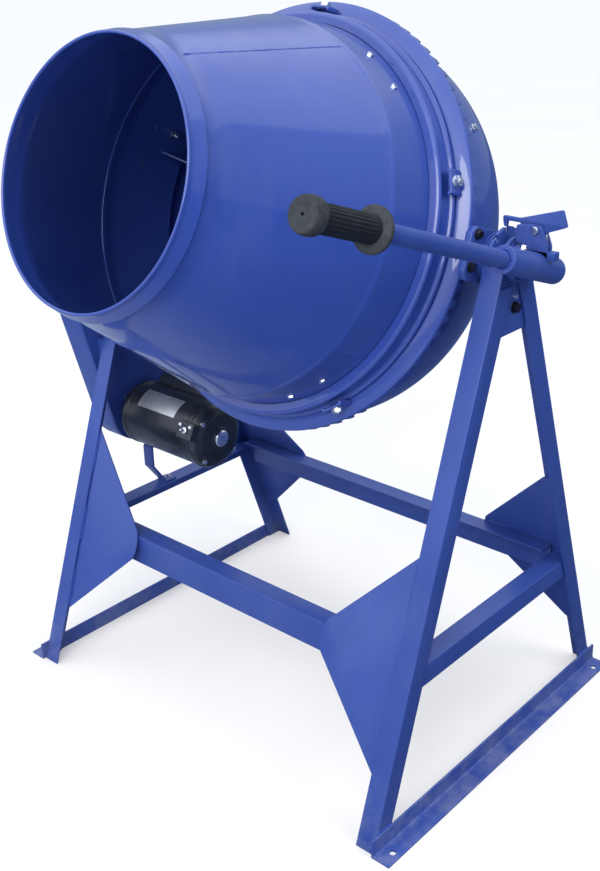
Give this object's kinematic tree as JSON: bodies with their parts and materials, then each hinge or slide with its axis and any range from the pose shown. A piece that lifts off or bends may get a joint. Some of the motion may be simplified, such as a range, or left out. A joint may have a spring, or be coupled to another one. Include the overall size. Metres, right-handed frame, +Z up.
{
  "type": "concrete mixer",
  "caption": "Tilting-drum concrete mixer: cone-and-bowl steel drum in a yoke on an angle-iron stand, belt and gear driven by a motor, with a dump handle and tilt lock.",
  "frame": {"origin": "centre of the bounding box's bottom face, at floor level", "axes": "+Z up, +X towards the dump-handle side, -Y the way the drum's mouth faces"},
  "size_m": [1.072, 0.9308, 1.329],
  "materials": {
    "blue_paint": "royal-blue gloss enamel on sheet steel, tube and angle iron",
    "black_paint": "semi-gloss black motor enamel",
    "rubber": "matt black rubber",
    "zinc": "zinc plated or ground steel",
    "cast_iron": "bare cast iron, machined where it runs",
    "bronze": "plain bearing bronze"
  },
  "bodies": {
    "stand": {"apex_plate_left": "blue_paint", "apex_plate_right": "blue_paint", "belt_guard": "blue_paint", "capacitor_cover": "black_paint", "cross_rail_front": "blue_paint", "cross_rail_rear": "blue_paint", "foot_rail_left": "blue_paint", "foot_rail_right": "blue_paint", "guard_back_plate": "blue_paint", "gusset_front_left": "blue_paint", "gusset_front_right": "blue_paint", "gusset_rear_left": "blue_paint", "gusset_rear_right": "blue_paint", "leg_front_left": "blue_paint", "leg_front_right": "blue_paint", "leg_rear_left": "blue_paint", "leg_rear_right": "blue_paint", "lock_quadrant": "blue_paint", "motor_bell_left": "black_paint", "motor_bell_right": "black_paint", "motor_shell": "black_paint", "motor_strut": "blue_paint", "side_brace_left": "blue_paint", "side_brace_right": "blue_paint", "switch_box": "black_paint", "trunnion_bearing_left": "blue_paint", "trunnion_bearing_right": "blue_paint", "v_belt": "rubber"},
    "tilting_yoke": {"yoke": "blue_paint", "trunnion_right": "blue_paint", "trunnion_left": "blue_paint", "spindle_bearing": "blue_paint", "handle_socket": "blue_paint", "handle_bar": "blue_paint", "handle_grip": "rubber", "latch_bracket": "blue_paint", "latch_pin": "zinc", "latch_spring": "zinc", "pinion_bush": "bronze"},
    "drum": {"drum_front_shell": "blue_paint", "drum_rear_bowl": "blue_paint", "ring_gear": "blue_paint", "drum_hoop": "blue_paint", "hoop_lug_1": "blue_paint", "hoop_lug_2": "blue_paint", "hoop_lug_3": "blue_paint", "hoop_lug_4": "blue_paint", "hoop_lug_5": "blue_paint", "paddle_1": "blue_paint", "paddle_2": "blue_paint", "paddle_3": "blue_paint", "drum_spindle": "cast_iron", "spindle_nut": "zinc"},
    "pinion_assembly": {"pinion": "cast_iron", "pinion_shaft": "zinc", "large_pulley": "cast_iron"},
    "motor_rotor": {"motor_shaft": "zinc", "motor_pulley": "cast_iron"},
    "latch": {"latch_lever": "blue_paint"},
    "toggle": {"switch_toggle": "zinc"}
  },
  "joints": [
    {"name": "drum_tilt", "type": "hinge", "parent": "stand", "child": "tilting_yoke", "pos_m": [0, 0.09237, 0.949], "axis": [1, 0, 0], "range_deg": [-50, 70]},
    {"name": "drum_spin", "type": "hinge", "parent": "tilting_yoke", "child": "drum", "pos_m": [0, 0.09237, 0.949], "axis": [0, -0.9461, 0.3239], "continuous": true},
    {"name": "pinion_spin", "type": "hinge", "parent": "tilting_yoke", "child": "pinion_assembly", "pos_m": [0, 0.09237, 0.949], "axis": [1, 0, 0], "continuous": true},
    {"name": "motor_spin", "type": "hinge", "parent": "stand", "child": "motor_rotor", "pos_m": [0, 0.04737, 0.472], "axis": [1, 0, 0], "continuous": true},
    {"name": "latch_lift", "type": "hinge", "parent": "tilting_yoke", "child": "latch", "pos_m": [0.484, 0.09237, 1.009], "axis": [0, 1, 0], "range_deg": [-8, 6], "deforming": ["latch_spring"]},
    {"name": "switch_throw", "type": "hinge", "parent": "stand", "child": "toggle", "pos_m": [-0.24, -0.02604, 0.50623], "axis": [1, 0, 0], "range_deg": [-12, 12]}
  ],
  "couplings": [
    {"joint": "pinion_spin", "follows": "drum_spin", "ratio": 10.5},
    {"joint": "motor_spin", "follows": "drum_spin", "ratio": 60.703}
  ]
}
